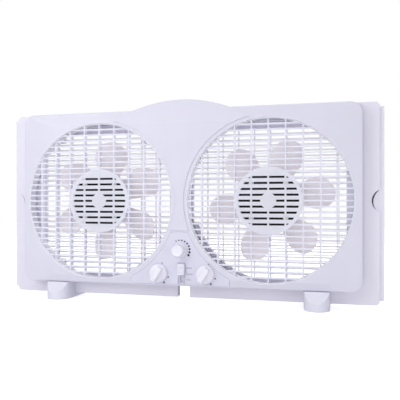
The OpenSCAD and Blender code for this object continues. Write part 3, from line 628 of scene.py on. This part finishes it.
class Shape:
    """Small modelling helpers on bmesh. Sizes are in metres."""

    @staticmethod
    def turned(profile: list[Pair], steps: int) -> Form:
        """Spins a profile about the Y axis into a closed turned form.

        Args:
            profile: Radius and Y of each point, from the axis at the back to the axis in front.
            steps: Number of steps round.

        Returns:
            The turned form, with its normals outwards.
        """
        mesh = bmesh.new()
        verts = [mesh.verts.new((radius, y, 0.0)) for radius, y in profile]
        edges = [mesh.edges.new(pair) for pair in zip(verts, verts[1:])]
        bmesh.ops.spin(
            mesh,
            geom=verts + edges,
            cent=(0, 0, 0),
            axis=(0, 1, 0),
            angle=math.tau,
            steps=steps,
            use_merge=True,
            use_duplicate=False,
        )
        bmesh.ops.remove_doubles(mesh, verts=mesh.verts, dist=TOUCH)
        bmesh.ops.recalc_face_normals(mesh, faces=mesh.faces)
        return mesh

    @staticmethod
    def block(
        low: Point,
        high: Point,
        round_by: float = 0.0,
        rounding: Rounding = Rounding.MEDIUM,
    ) -> Form:
        """Makes a block, with rounded edges where a radius is given.

        Args:
            low: Its lowest corner.
            high: Its highest corner.
            round_by: Radius of its edges.
            rounding: How finely they are rounded.

        Returns:
            The block.
        """
        mesh = bmesh.new()
        bmesh.ops.create_cube(mesh, size=1.0)
        size = Vector(high) - Vector(low)
        bmesh.ops.scale(mesh, vec=size, verts=mesh.verts)
        bmesh.ops.translate(mesh, vec=(Vector(low) + Vector(high)) / 2, verts=mesh.verts)
        if round_by:
            bmesh.ops.bevel(
                mesh,
                geom=mesh.edges[:],
                offset=round_by,
                segments=rounding.value,
                profile=0.5,
                affect="EDGES",
                clamp_overlap=True,
                material=-1,
            )
        return mesh

    @staticmethod
    def join(parts: list[Form]) -> Form:
        """Puts several forms into one mesh and frees them.

        Args:
            parts: The forms.

        Returns:
            One form with all of them.
        """
        whole = bmesh.new()
        for part in parts:
            data = bpy.data.meshes.new("part")
            part.to_mesh(data)
            part.free()
            whole.from_mesh(data)
            bpy.data.meshes.remove(data)
        return whole

    @staticmethod
    def place(mesh: Form, at: Point, turn: float = 0.0) -> Form:
        """Turns a form clockwise as seen from the front and moves it.

        Args:
            mesh: The form about the origin.
            at: Where its origin goes.
            turn: Degrees about +Y.

        Returns:
            The same form.
        """
        matrix = Matrix.Rotation(math.radians(turn), 3, "Y")
        bmesh.ops.rotate(mesh, cent=(0, 0, 0), matrix=matrix, verts=mesh.verts)
        bmesh.ops.translate(mesh, vec=at, verts=mesh.verts)
        return mesh


# ---------------------------------------------------------------- sub-assemblies


@dataclass
class Housing:
    """The two shells with their grilles, feet and inner fittings."""

    dresser: Dresser

    def dress(self) -> None:
        """Gives every fixed node but the control panel its finish."""
        self.dresser.node("front_shell", Surface.HOUSING)
        # The rear shell and rear grilles get lighter copies of the plastics, painted light inside
        # the housing.
        self.dresser.node("rear_shell", Surface.REAR_HOUSING_LIT)
        for side in SIDES:
            self.dresser.node(f"front_grille_{side}", Surface.GRILLE)
            self.dresser.node(f"rear_grille_{side}", Surface.REAR_GRILLE_LIT)
            self.dresser.node(f"foot_{side}", Surface.FOOT)
            self.dresser.node(f"motor_{side}", Surface.MOTOR)
            self.dresser.node(f"motor_bushings_{side}", Surface.BRONZE)
            self.dresser.nodes([f"motor_screws_{side}", f"fan_spindle_{side}"], Surface.STEEL)
            self.dresser.node(f"motor_lead_{side}", Surface.LEAD)
            self.dresser.node(f"fan_switch_{side}", Surface.DARK)
        self.dresser.nodes(
            ["housing_screws", "control_screws", "thermostat_spindle"], Surface.STEEL
        )
        self.dresser.nodes(["thermostat", "capacitors", "lead_grommet"], Surface.DARK)
        # The switch behind the slot gets a lightened finish, painted light in the slot.
        self.dresser.node("slide_switch", Surface.SWITCH_LIT)
        LOG.info("housing dressed")


@dataclass
class Rotors:
    """The two paddle wheels on their shafts."""

    dresser: Dresser

    def dress(self) -> None:
        """Gives wheels, nuts and shafts their finishes."""
        for side in SIDES:
            self.dresser.nodes([f"blade_{side}", f"blade_nut_{side}"], Surface.BLADE)
            self.dresser.node(f"shaft_{side}", Surface.STEEL)
        LOG.info("rotors dressed")


@dataclass
class Extenders:
    """The two panels that slide out."""

    dresser: Dresser
    notch_at: Pair = (307.9 * MM, 162.0 * MM)
    notch_r: float = 18.0 * MM
    tongue_face: float = -3.5 * MM
    # Size of the crescent of painted shade in each notch.
    shade_w: float = 2.7 * MM
    shade_thick: float = 0.15 * MM
    shade_sunk: float = 0.05 * MM
    # Degrees from the middle's right, seen from the front, where the painted shade starts and
    # ends.
    shade_span: Pair = (113.0, 232.0)
    shade_steps: int = 28
    # Share of its width that the painted shade keeps at its tips, and how its widest part leans.
    shade_tip: float = 0.04
    shade_lean: float = 0.85

    def dress(self) -> None:
        """Gives both extenders their finish and a dark crescent of painted shade in each finger
        notch.
        """
        self.dresser.nodes(["extender_left", "extender_right"], Surface.EXTENDER)
        for side, name in zip((-1.0, 1.0), SIDES):
            shade_crescent = self._notch_shade(side)
            body = f"extender_{name}"
            self.dresser.piece(f"notch_shade_crescent_{name}", shade_crescent, Surface.NOTCH_SHADE, body, "dark_plastic")
        LOG.info("extenders dressed")

    def _notch_shade(self, side: float) -> Form:
        """Makes the thin dark crescent of painted shade that lies along a notch's edge, on the
        tongue.

        Args:
            side: -1 for the left extender, 1 for the right one.

        Returns:
            The crescent in place.
        """
        mesh = bmesh.new()
        radii = (self.notch_r - self.shade_w, self.notch_r)
        ends = [mesh.verts.new((radius, 0.0, 0.0)) for radius in radii]
        span = math.radians(self.shade_span[1] - self.shade_span[0])
        bmesh.ops.spin(
            mesh,
            geom=[*ends, mesh.edges.new(ends)],
            cent=(0, 0, 0),
            axis=(0, -1, 0),
            angle=span,
            steps=self.shade_steps,
            use_duplicate=False,
        )
        # The inner edge moves out towards both ends, so that the strip tapers to a hair.
        for vert in mesh.verts:
            radius = math.hypot(vert.co.x, vert.co.z)
            if radius < self.notch_r - self.shade_w / 2:
                share = min(1.0, max(0.0, math.atan2(vert.co.z, vert.co.x) / span))
                swell = math.sin(math.pi * share**self.shade_lean)
                width = self.shade_w * (self.shade_tip + (1.0 - self.shade_tip) * swell)
                scale = (self.notch_r - width) / radius
                vert.co.x *= scale
                vert.co.z *= scale
        raised = bmesh.ops.extrude_face_region(mesh, geom=mesh.faces[:])["geom"]
        front = [item for item in raised if isinstance(item, bmesh.types.BMVert)]
        bmesh.ops.translate(mesh, vec=(0.0, -self.shade_thick, 0.0), verts=front)
        place = (self.notch_at[0], self.tongue_face + self.shade_sunk, self.notch_at[1])
        Shape.place(mesh, place, -self.shade_span[0])
        bmesh.ops.scale(mesh, vec=(side, 1.0, 1.0), verts=mesh.verts)
        bmesh.ops.recalc_face_normals(mesh, faces=mesh.faces)
        return mesh


@dataclass(frozen=True)
class PanelLayout:
    """Where the knobs' axes stand, for the knobs and for the marks round them."""

    knob_places: Pair = (-34.0 * MM, 42.0 * MM)
    knob_z: float = 48.0 * MM
    stat_at: Pair = (1.5 * MM, 85.0 * MM)


@dataclass
class ControlPanel:
    """The arched panel with its marks and strips of painted shade in its track."""

    dresser: Dresser
    layout: PanelLayout = PanelLayout()
    face: float = -33.22 * MM
    # How far the ink stands out of the face, and how far it reaches into it.
    ink_proud: float = 0.01 * MM
    ink_sunk: float = 0.1 * MM
    dot_steps: int = 20
    stat_ring: float = 15.6 * MM
    stat_dots: int = 9
    stat_first: float = 115.0
    stat_step: float = 18.0
    stat_dot_r: float = 1.05 * MM
    stat_dot_growth: float = 0.115 * MM
    mark_ring: float = 17.0 * MM
    # Angle and radius of each dot at a fan knob.
    knob_dots: tuple[Pair, ...] = ((70.0, 0.9 * MM), (-20.0, 1.15 * MM), (-58.0, 1.5 * MM))
    dash_start: float = 11.6 * MM
    dash_half: float = 0.55 * MM
    # Height and length of each dash beside the slider.
    dashes: tuple[Pair, ...] = (
        (57.4 * MM, 9.0 * MM), (47.8 * MM, 10.5 * MM), (38.8 * MM, 7.0 * MM),
    )
    # Where the strips of painted shade lie in the slide button's track.
    track_floor: float = -32.0 * MM
    track_z: Pair = (31.8 * MM, 64.6 * MM)
    strip_places: Pair = (-2.0 * MM, 6.6 * MM)
    strip_w: float = 3.4 * MM
    strip_proud: float = 0.12 * MM
    strip_sunk: float = 0.1 * MM

    def dress(self) -> None:
        """Dresses the panel and lays its marks and the track's strips of painted shade."""
        self.dresser.node("control_panel", Surface.PANEL)
        self._marks()
        self._track_shade()
        LOG.info("control panel dressed")

    def _track_shade(self) -> None:
        """Lays darker strips of painted shade on both sides of the slide button's slot, standing
        in for the shade in its track.
        """
        front, back = self.track_floor - self.strip_proud, self.track_floor + self.strip_sunk
        bottom, top = self.track_z
        strips = [
            Shape.block((left, front, bottom), (left + self.strip_w, back, top))
            for left in self.strip_places
        ]
        self.dresser.piece("track_shade_strips", Shape.join(strips), Surface.TRACK_SHADE, "housing", "panel")

    def _dot(self, middle: Pair, ring: float, degrees: float, radius: float) -> Form:
        """Makes one round dot of ink on the panel's face, on a ring about an axis.

        Args:
            middle: The axis, across and up.
            ring: Radius of the ring.
            degrees: Its place on the ring, from the right anticlockwise.
            radius: Its own radius.

        Returns:
            A thin disc.
        """
        back = self.face + self.ink_sunk
        front = self.face - self.ink_proud
        profile = [(0.0, back), (radius, back), (radius, self.face), (0.0, front)]
        angle = math.radians(degrees)
        x = middle[0] + ring * math.cos(angle)
        z = middle[1] + ring * math.sin(angle)
        return Shape.place(Shape.turned(profile, self.dot_steps), (x, 0.0, z))

    def _dash(self, z: float, length: float) -> Form:
        """Makes one level dash beside the slide button.

        Args:
            z: Its height.
            length: Its length.

        Returns:
            A thin flat block.
        """
        start, end = self.dash_start, self.dash_start + length
        front, back = self.face - self.ink_proud, self.face + self.ink_sunk
        return Shape.block((start, front, z - self.dash_half), (end, back, z + self.dash_half))

    def _marks(self) -> None:
        """Lays growing dots round the thermostat, dots at each fan knob, dashes by the slider."""
        dots = []
        for step in range(self.stat_dots):
            degrees = self.stat_first - self.stat_step * step
            radius = self.stat_dot_r + self.stat_dot_growth * step
            dots.append(self._dot(self.layout.stat_at, self.stat_ring, degrees, radius))
        for knob_x in self.layout.knob_places:
            middle = (knob_x, self.layout.knob_z)
            for degrees, radius in self.knob_dots:
                dots.append(self._dot(middle, self.mark_ring, degrees, radius))
        ink = Shape.join(dots)
        self.dresser.piece("panel_marks", ink, Surface.MARK, "housing", "dark_plastic")
        faint = Shape.join([self._dash(z, length) for z, length in self.dashes])
        self.dresser.piece("slider_marks", faint, Surface.FAINT_MARK, "housing", "dark_plastic")


@dataclass
class Knobs:
    """The thermostat knob, the two fan knobs and the slide button.

    The points of a profile give how far in from the rim and how far in front of the seat or
    the tip they stand, in millimetres.
    """

    dresser: Dresser
    layout: PanelLayout = PanelLayout()
    seat: float = -34.3 * MM
    tip: float = -51.0 * MM
    knob_r: float = 14.5 * MM
    knob_turn: float = 31.0
    knob_steps: int = 72
    skirt_points: tuple[Pair, ...] = ((0.5, 0.0), (0.0, 0.5), (0.3, 3.2), (0.9, 4.3), (2.0, 4.9))
    skirt_rise: float = 5.6 * MM
    bar_half: float = 4.9 * MM
    bar_edge: float = 1.7 * MM
    bar_back: float = 3.5 * MM
    # Share of bar_half at the seat, and what width and length lose of theirs by the tip.
    bar_wide: float = 1.12
    bar_thinning: float = 0.2
    bar_shortening: float = 0.06
    dial_r: float = 11.5 * MM
    dial_foot: tuple[Pair, ...] = ((0.4, 0.0), (0.0, 0.5), (0.3, 2.4), (1.2, 3.0))
    dial_crown: tuple[Pair, ...] = ((1.9, -1.6), (2.4, -0.5), (3.4, 0.0), (4.2, -0.3))
    dial_dish: float = 1.0 * MM
    flutes: int = 24
    flute_steps: int = 4
    flute_deep: float = 0.5 * MM
    # Share of each flute's step that is sunk, and the gaps to tip and seat that stay plain.
    flute_share: Pair = (0.2, 0.6)
    flute_gaps: Pair = (0.4 * MM, 2.6 * MM)
    pointer_half: float = 0.6 * MM
    pointer_reach: Pair = (3.0 * MM, 7.8 * MM)
    pointer_deep: float = 1.4 * MM
    pointer_edge: float = 0.35 * MM
    cap_back: float = -32.4 * MM
    cap_drop: float = 1.0 * MM
    cap_edge: float = 1.6 * MM
    ridge_places: tuple[float, ...] = (-5.0 * MM, -2.5 * MM, 0.0, 2.5 * MM, 5.0 * MM)
    ridge_half: float = 0.8 * MM
    ridge_inset: float = 1.6 * MM
    ridge_deep: float = 2.4 * MM
    ridge_edge: float = 0.6 * MM
    stem_front: float = -32.8 * MM
    stem_half: Pair = (2.2 * MM, 3.5 * MM)
    stem_edge: float = 0.3 * MM

    def build(self) -> None:
        """Makes all four and sets them in place of their CAD nodes."""
        for x, name in zip(self.layout.knob_places, SIDES):
            knob, body = self._fan_knob(x), f"speed_dial_{name}"
            piece = self.dresser.piece(f"grip_knob_{name}", knob, Surface.KNOB, body, "knob")
            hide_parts(f"fan_knob_{name}")
        knob = self._thermostat_knob()
        dial = self.dresser.piece("dial_knob", knob, Surface.KNOB, "thermostat_dial", "knob")
        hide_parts("thermostat_knob")
        cap = self._button()
        button = self.dresser.piece("ridged_button", cap, Surface.KNOB, "slider", "knob")
        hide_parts("slide_button")
        LOG.info("knobs built")

    @staticmethod
    def _rim(radius: float, level: float, points: tuple[Pair, ...]) -> list[Pair]:
        """Turns insets and rises in millimetres into points of a profile.

        Args:
            radius: Radius of the rim.
            level: Y that the rises start from.
            points: Inset and rise of each point.

        Returns:
            Radius and Y of each point.
        """
        return [(radius - inset * MM, level - rise * MM) for inset, rise in points]

    def _fan_knob(self, x: float) -> Form:
        """Makes a round knob with a thick grip bar across it.

        Args:
            x: Where its axis stands across.

        Returns:
            The knob in place.
        """
        rim = self._rim(self.knob_r, self.seat, self.skirt_points)
        profile = [(0.0, self.seat), *rim, (0.0, self.seat - self.skirt_rise)]
        skirt = Shape.turned(profile, self.knob_steps)
        reach = self.knob_r - self.bar_edge
        bar = Shape.block(
            (-self.bar_half, self.tip, -reach),
            (self.bar_half, self.seat - self.bar_back, reach),
            self.bar_edge,
            Rounding.FINE,
        )
        for vert in bar.verts:
            share = (self.seat - vert.co.y) / (self.seat - self.tip)
            vert.co.x *= self.bar_wide - self.bar_thinning * share
            vert.co.z *= 1.0 - self.bar_shortening * share
        at = (x, 0.0, self.layout.knob_z)
        return Shape.place(Shape.join([skirt, bar]), at, self.knob_turn)

    def _thermostat_knob(self) -> Form:
        """Makes the fluted dial with a dished face and a pointer rib.

        Returns:
            The knob in place.
        """
        foot = self._rim(self.dial_r, self.seat, self.dial_foot)
        crown = self._rim(self.dial_r, self.tip, self.dial_crown)
        profile = [(0.0, self.seat), *foot, *crown, (0.0, self.tip + self.dial_dish)]
        dial = Shape.turned(profile, self.flute_steps * self.flutes)
        step = math.tau / self.flutes
        front, back = self.tip + self.flute_gaps[0], self.seat - self.flute_gaps[1]
        start, end = self.flute_share
        for vert in dial.verts:
            radius = math.hypot(vert.co.x, vert.co.z)
            if front < vert.co.y < back and radius > self.dial_r / 2:
                phase = (math.atan2(vert.co.z, vert.co.x) / step) % 1.0
                if start < phase < end:
                    vert.co.x *= 1.0 - self.flute_deep / radius
                    vert.co.z *= 1.0 - self.flute_deep / radius
        pointer = Shape.block(
            (-self.pointer_half, self.tip, self.pointer_reach[0]),
            (self.pointer_half, self.tip + self.pointer_deep, self.pointer_reach[1]),
            self.pointer_edge,
            Rounding.COARSE,
        )
        at = (self.layout.stat_at[0], 0.0, self.layout.stat_at[1])
        return Shape.place(Shape.join([dial, pointer]), at)

    def _button(self) -> Form:
        """Makes the slide button with ridges for the finger, in its CAD node's box.

        Returns:
            The button in place.
        """
        low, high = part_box("slide_button")
        front, across, middle = low[1], (low[0] + high[0]) / 2, (low[2] + high[2]) / 2
        cap = Shape.block(
            (low[0], front + self.cap_drop, low[2]),
            (high[0], self.cap_back, high[2]),
            self.cap_edge,
            Rounding.FINE,
        )
        left, right = low[0] + self.ridge_inset, high[0] - self.ridge_inset
        ridges = [
            Shape.block(
                (left, front, middle + up - self.ridge_half),
                (right, front + self.ridge_deep, middle + up + self.ridge_half),
                self.ridge_edge,
                Rounding.MEDIUM,
            )
            for up in self.ridge_places
        ]
        half_w, half_h = self.stem_half
        stem = Shape.block(
            (across - half_w, self.stem_front, middle - half_h),
            (across + half_w, high[1], middle + half_h),
            self.stem_edge,
            Rounding.COARSE,
        )
        return Shape.join([cap, stem, *ridges])


# ---------------------------------------------------------------- studio


@dataclass(frozen=True)
class Lamp:
    """A square lamp, with its side in metres and its power in watts."""

    name: str
    at: Point
    side: float
    power: float

    def hang(self, aim: Point) -> None:
        """Adds the lamp to the scene.

        Args:
            aim: The point that it faces.
        """
        data = bpy.data.lights.new(self.name, "AREA")
        data.size = self.side
        data.energy = self.power
        lamp = bpy.data.objects.new(self.name, data)
        lamp.location = self.at
        lamp.rotation_euler = (Vector(self.at) - Vector(aim)).to_track_quat("Z", "Y").to_euler()
        bpy.context.scene.collection.objects.link(lamp)


@dataclass
class Studio:
    """Camera, lights, floor and background.

    A key hangs at the left, weak fills low and at the right, and soft lamps behind and above.
    """

    camera_at: Point = (0.245, -0.850, 0.159)
    yaw: float = 14.5
    lens: float = 48.87
    sensor: float = 36.0
    shift_y: float = 0.0075
    near: float = 0.01
    world_strength: float = 0.5
    lamps: tuple[Lamp, ...] = (
        Lamp("key", (-0.55, -0.85, 0.55), 0.5, 3.1),
        Lamp("low", (0.2, -1.2, 0.08), 0.3, 2.6),
        Lamp("right", (2.4, -1.5, 0.4), 1.0, 8.0),
        Lamp("back", (0.4, 1.3, 0.2), 1.4, 14.0),
        Lamp("top", (0.0, -0.1, 1.8), 1.6, 12.0),
    )
    lamp_aim: Point = (0.0, 0.0, 0.16)
    ground: float = 3.0
    ground_tone: Colour = (0.93, 0.93, 0.93)
    ground_rough: float = 0.9
    ground_glow: float = 0.5

    def build(self) -> None:
        """Sets up the whole studio."""
        self._camera()
        self._world()
        for lamp in self.lamps:
            lamp.hang(self.lamp_aim)
        self._floor()
        bpy.context.scene.view_settings.view_transform = "Standard"
        LOG.info("studio ready")

    def _camera(self) -> None:
        """Places the camera at the photograph's angle."""
        data = bpy.data.cameras.new("camera")
        data.lens = self.lens
        data.sensor_width = self.sensor
        data.sensor_fit = "HORIZONTAL"
        data.shift_y = self.shift_y
        data.clip_start = self.near
        camera = bpy.data.objects.new("camera", data)
        camera.location = self.camera_at
        camera.rotation_euler = (math.radians(90.0), 0.0, math.radians(self.yaw))
        bpy.context.scene.collection.objects.link(camera)
        bpy.context.scene.camera = camera

    def _world(self) -> None:
        """Lights the object evenly and shows white behind it."""
        world = bpy.data.worlds.new("studio")
        world.use_nodes = True
        nodes, links = world.node_tree.nodes, world.node_tree.links
        nodes.clear()
        light = nodes.new("ShaderNodeBackground")
        light.inputs["Color"].default_value = WHITE
        light.inputs["Strength"].default_value = self.world_strength
        white = nodes.new("ShaderNodeBackground")
        white.inputs["Color"].default_value = WHITE
        path = nodes.new("ShaderNodeLightPath")
        direct = nodes.new("ShaderNodeMath")
        direct.operation = "MAXIMUM"
        seen = nodes.new("ShaderNodeMath")
        seen.operation = "MAXIMUM"
        mix = nodes.new("ShaderNodeMixShader")
        out = nodes.new("ShaderNodeOutputWorld")
        links.new(path.outputs["Is Camera Ray"], direct.inputs[0])
        links.new(path.outputs["Is Glossy Ray"], direct.inputs[1])
        links.new(direct.outputs["Value"], seen.inputs[0])
        links.new(path.outputs["Is Transmission Ray"], seen.inputs[1])
        links.new(seen.outputs["Value"], mix.inputs["Fac"])
        links.new(light.outputs["Background"], mix.inputs[1])
        links.new(white.outputs["Background"], mix.inputs[2])
        links.new(mix.outputs["Shader"], out.inputs["Surface"])
        bpy.context.scene.world = world

    def _floor(self) -> None:
        """Lays a white floor that keeps the fan's shadow."""
        mesh = bmesh.new()
        bmesh.ops.create_grid(mesh, x_segments=1, y_segments=1, size=self.ground)
        data = bpy.data.meshes.new("floor")
        mesh.to_mesh(data)
        mesh.free()
        floor = bpy.data.objects.new("floor", data)
        bpy.context.scene.collection.objects.link(floor)
        data.materials.append(self._floor_material())

    def _floor_material(self) -> bpy.types.Material:
        """Makes the floor's white, which only the camera sees brighter than it lights the fan.

        Returns:
            The floor's material.
        """
        material = bpy.data.materials.new("floor_white")
        material.use_nodes = True
        nodes, links = material.node_tree.nodes, material.node_tree.links
        shader = nodes["Principled BSDF"]
        shader.inputs["Base Color"].default_value = (*self.ground_tone, 1.0)
        shader.inputs["Roughness"].default_value = self.ground_rough
        glow = nodes.new("ShaderNodeEmission")
        path = nodes.new("ShaderNodeLightPath")
        level = nodes.new("ShaderNodeMath")
        level.operation = "MULTIPLY"
        level.inputs[1].default_value = self.ground_glow
        add = nodes.new("ShaderNodeAddShader")
        links.new(path.outputs["Is Camera Ray"], level.inputs[0])
        links.new(level.outputs["Value"], glow.inputs["Strength"])
        links.new(shader.outputs["BSDF"], add.inputs[0])
        links.new(glow.outputs["Emission"], add.inputs[1])
        links.new(add.outputs["Shader"], nodes["Material Output"].inputs["Surface"])
        return material


def main() -> None:
    """Builds the fan's looks in order."""
    logging.basicConfig(level=logging.INFO, format="%(name)s: %(message)s")
    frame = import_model()
    Studio().build()
    dresser = Dresser(frame)
    Housing(dresser).dress()
    Rotors(dresser).dress()
    Extenders(dresser).dress()
    ControlPanel(dresser).dress()
    Knobs(dresser).build()
    LOG.info("size written")


if __name__ == "__main__":
    main()
